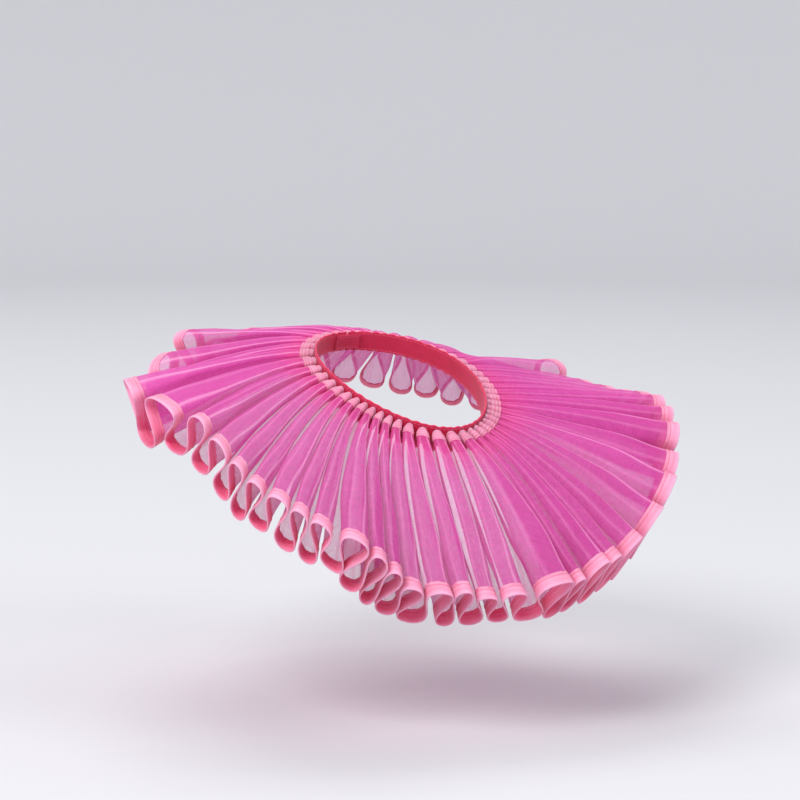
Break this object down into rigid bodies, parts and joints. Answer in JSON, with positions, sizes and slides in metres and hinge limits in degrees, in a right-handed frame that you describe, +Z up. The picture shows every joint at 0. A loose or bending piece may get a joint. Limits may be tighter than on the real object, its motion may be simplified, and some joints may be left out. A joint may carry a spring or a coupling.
{
  "type": "ruff collar",
  "caption": "Sheer pleated ruff collar worn round the neck, its organ pleats gathered on a narrow band under a ribbon heading and bound along the hem with ribbon.",
  "frame": {"origin": "middle of the neck opening, where the collar rests round the neck", "axes": "+Z up, -Y the way the wearer faces, +X the wearer's left"},
  "size_m": [0.4144, 0.4179, 0.1901],
  "materials": {
    "organza": "sheer woven organza with a soft sheen",
    "ribbon": "opaque ribbon binding, satin",
    "band": "opaque ribbon band, matte"
  },
  "bodies": {
    "root": {"neck_band": "band", "back_tab": "band", "organza_back_right": "organza", "organza_shoulder_back_right": "organza", "organza_shoulder_front_right": "organza", "organza_front_right": "organza", "organza_front_left": "organza", "organza_shoulder_front_left": "organza", "organza_shoulder_back_left": "organza", "organza_back_left": "organza", "heading_back_right": "ribbon", "heading_front_right": "ribbon", "heading_front_left": "ribbon", "heading_back_left": "ribbon", "hem_ribbon_back_right": "ribbon", "hem_ribbon_front_right": "ribbon", "hem_ribbon_front_left": "ribbon", "hem_ribbon_back_left": "ribbon"}
  },
  "joints": []
}
